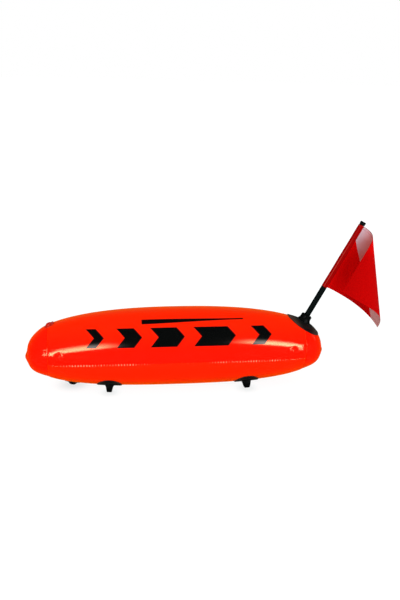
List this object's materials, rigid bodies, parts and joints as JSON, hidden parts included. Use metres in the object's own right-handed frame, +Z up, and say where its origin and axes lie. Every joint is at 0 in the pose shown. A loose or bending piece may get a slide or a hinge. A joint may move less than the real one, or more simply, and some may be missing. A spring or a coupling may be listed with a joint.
{
  "type": "inflatable torpedo float",
  "caption": "Inflatable cigar-shaped PVC float with an inflation valve, clip-on lugs under the hull and a raked mast that carries a swinging flag.",
  "frame": {"origin": "middle of the underside of the whole float with its mast and flag, on the ground that the four lugs stand on", "axes": "+X from the bow to the stern, where the mast stands; -Y to port; +Z up"},
  "size_m": [0.961, 0.2116, 0.4486],
  "materials": {
    "hull_vinyl": "glossy orange-red PVC sheet",
    "valve_vinyl": "soft orange-red PVC moulding",
    "patch_vinyl": "black PVC sheet, half gloss",
    "lug_plastic": "black moulded PVC, half gloss",
    "mast_plastic": "black plastic tube",
    "flag_cloth": "thin red woven cloth"
  },
  "bodies": {
    "hull": {"hull_panel_upper": "hull_vinyl", "hull_panel_lower": "hull_vinyl", "end_cap_bow": "hull_vinyl", "end_cap_stern": "hull_vinyl", "lug_patch_bow_port": "patch_vinyl", "lug_patch_bow_starboard": "patch_vinyl", "lug_patch_stern_port": "patch_vinyl", "lug_patch_stern_starboard": "patch_vinyl", "lug_eye_bow_port": "lug_plastic", "lug_eye_bow_starboard": "lug_plastic", "lug_eye_stern_port": "lug_plastic", "lug_eye_stern_starboard": "lug_plastic", "tow_lug_patch": "patch_vinyl", "tow_lug_eye": "lug_plastic", "mast_patch": "patch_vinyl", "mast_socket": "lug_plastic", "valve_flange": "hull_vinyl"},
    "mast": {"mast_tube": "mast_plastic", "mast_foot_plug": "mast_plastic"},
    "tip_cap": {"mast_tip_cap": "mast_plastic"},
    "flag": {"flag_sleeve": "flag_cloth", "flag_cloth": "flag_cloth"},
    "neck": {"valve_neck": "valve_vinyl", "valve_strap": "valve_vinyl"},
    "stopper": {"valve_stopper": "valve_vinyl"},
    "check_flap": {"valve_check_flap": "valve_vinyl"}
  },
  "joints": [
    {"name": "mast_pull", "type": "slide", "parent": "hull", "child": "mast", "axis": [0.4695, 0, 0.8829], "range_m": [0, 0.037]},
    {"name": "tip_cap_pull", "type": "slide", "parent": "mast", "child": "tip_cap", "axis": [0.4695, 0, 0.8829], "range_m": [0, 0.0065]},
    {"name": "flag_swing", "type": "hinge", "parent": "mast", "child": "flag", "pos_m": [0.41271, 0, 0.43618], "axis": [0.4695, 0, 0.8829], "continuous": true},
    {"name": "valve_pop", "type": "slide", "parent": "hull", "child": "neck", "axis": [-0.3755, 0, 0.9268], "range_m": [0, 0.0075]},
    {"name": "stopper_pull", "type": "slide", "parent": "neck", "child": "stopper", "axis": [-0.3755, 0, 0.9268], "range_m": [0, 0.0085]},
    {"name": "flap_lift", "type": "hinge", "parent": "neck", "child": "check_flap", "pos_m": [-0.42016, 0, 0.15509], "axis": [0, 1, 0], "range_deg": [0, 70], "stiffness_Nm_per_rad": 0.0002}
  ]
}
